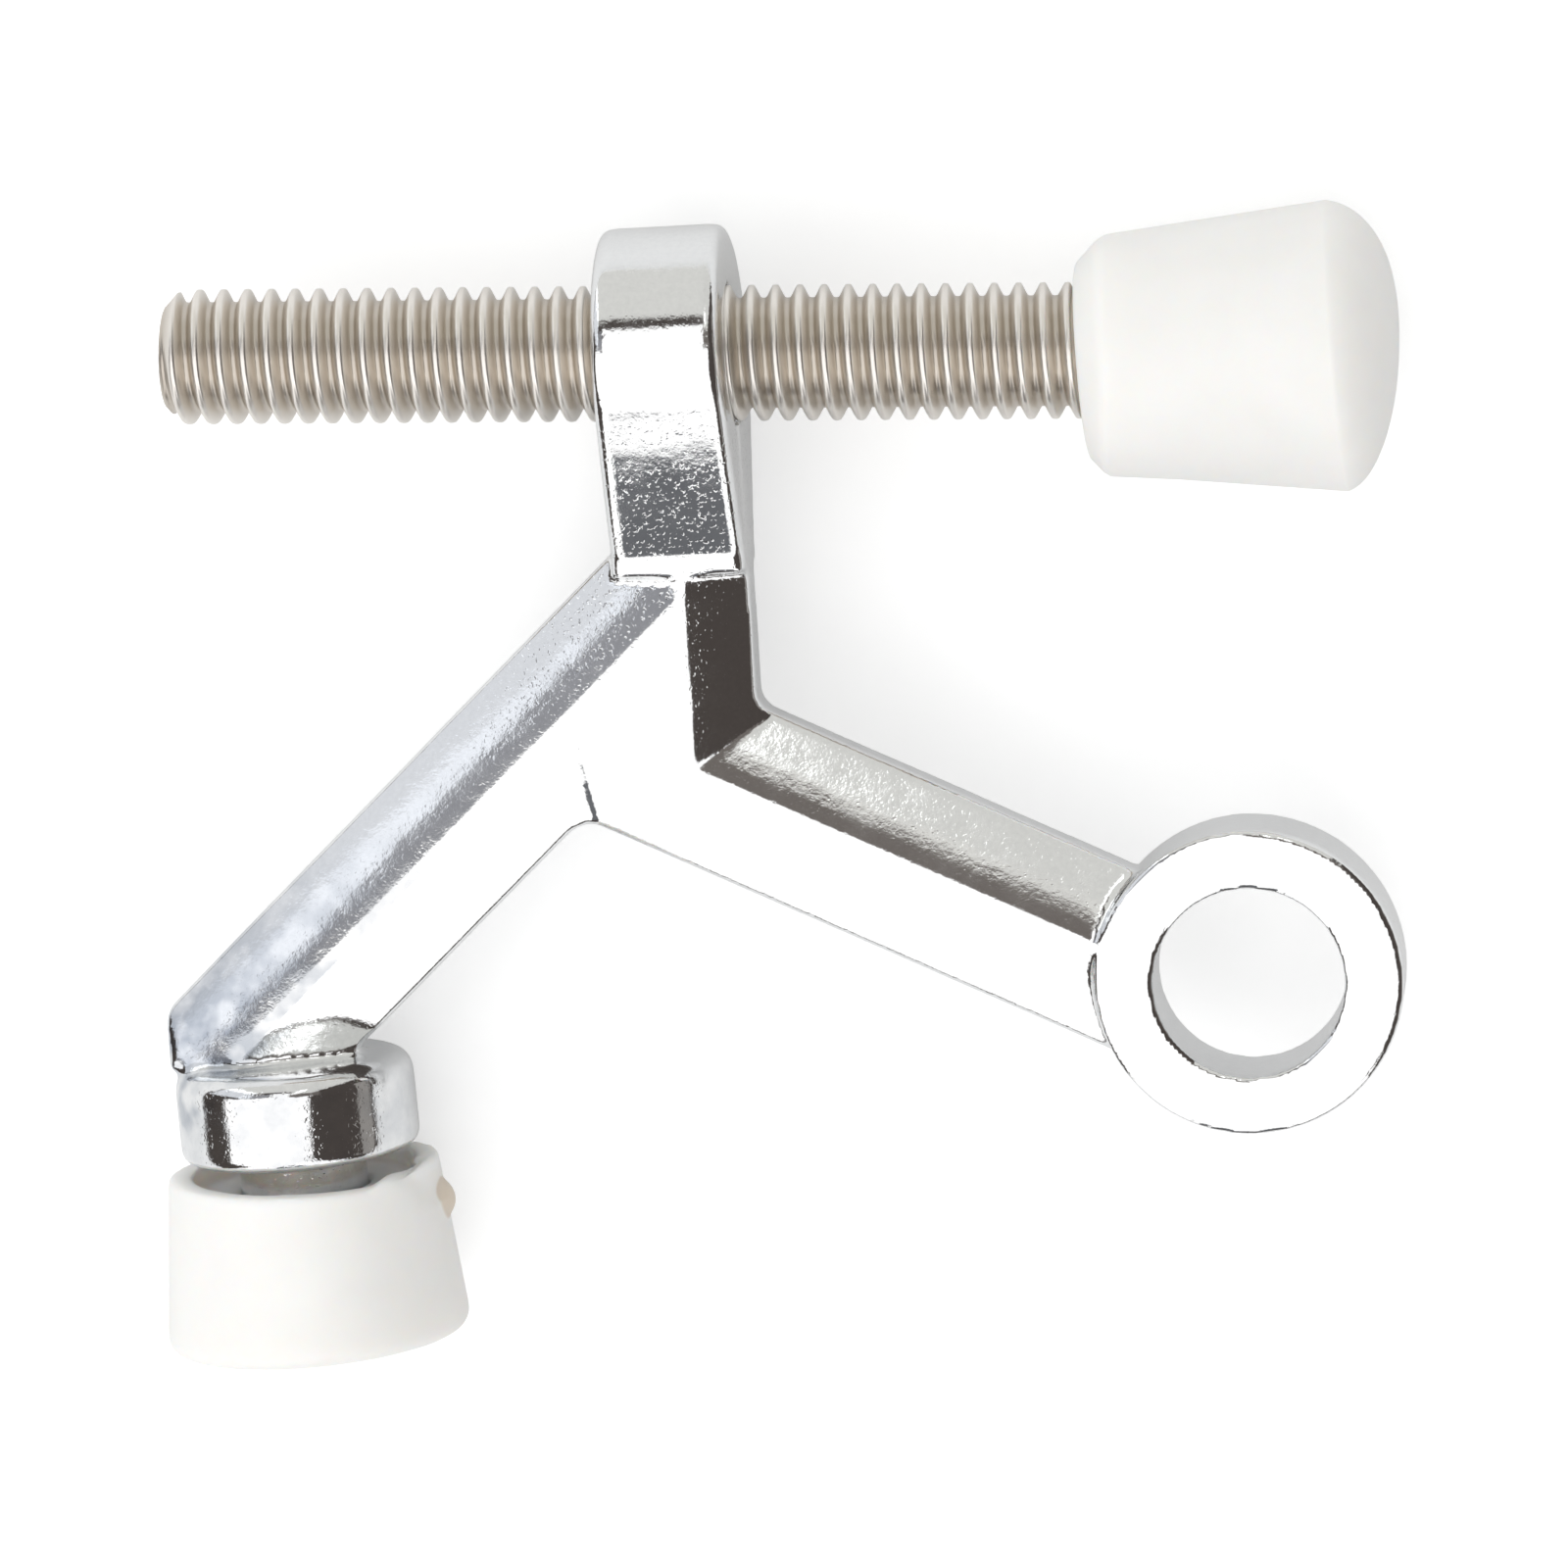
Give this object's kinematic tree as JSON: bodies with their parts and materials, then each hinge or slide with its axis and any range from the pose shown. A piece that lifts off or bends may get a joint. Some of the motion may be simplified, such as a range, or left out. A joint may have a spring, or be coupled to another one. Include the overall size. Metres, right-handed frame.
{
  "type": "hinge pin door stop",
  "caption": "Door stop that hangs on a hinge pin: a chromed Y-shaped casting with a pin eye, a screwed adjusting rod with a rubber tip, and a rubber-tipped foot.",
  "frame": {"origin": "centre of the hinge-pin eye, half way through its depth", "axes": "+X along the adjusting rod toward its bumper, +Y from the eye toward the rod, +Z along the hinge pin"},
  "size_m": [0.0738, 0.0679, 0.018],
  "materials": {
    "chromed_zinc": "bright chrome plate over die-cast zinc, a little mottled",
    "nickelled_steel": "warm nickel plate on a rolled thread",
    "white_rubber": "matt moulded rubber"
  },
  "bodies": {
    "casting": {"cast_body": "chromed_zinc", "foot_bumper": "white_rubber"},
    "tip": {"rod_bumper": "white_rubber"},
    "rod": {"threaded_rod": "nickelled_steel"}
  },
  "joints": [
    {"name": "rod_advance", "type": "slide", "parent": "casting", "child": "tip", "axis": [1, 0, 0], "range_m": [-0.01834, 0.02398]},
    {"name": "rod_turn", "type": "hinge", "parent": "tip", "child": "rod", "pos_m": [-0.0334, 0.0366, 0], "axis": [1, 0, 0], "range_deg": [-4680, 6120]}
  ],
  "couplings": [
    {"joint": "rod_turn", "follows": "rod_advance", "rad_per_m": 4452.7}
  ]
}
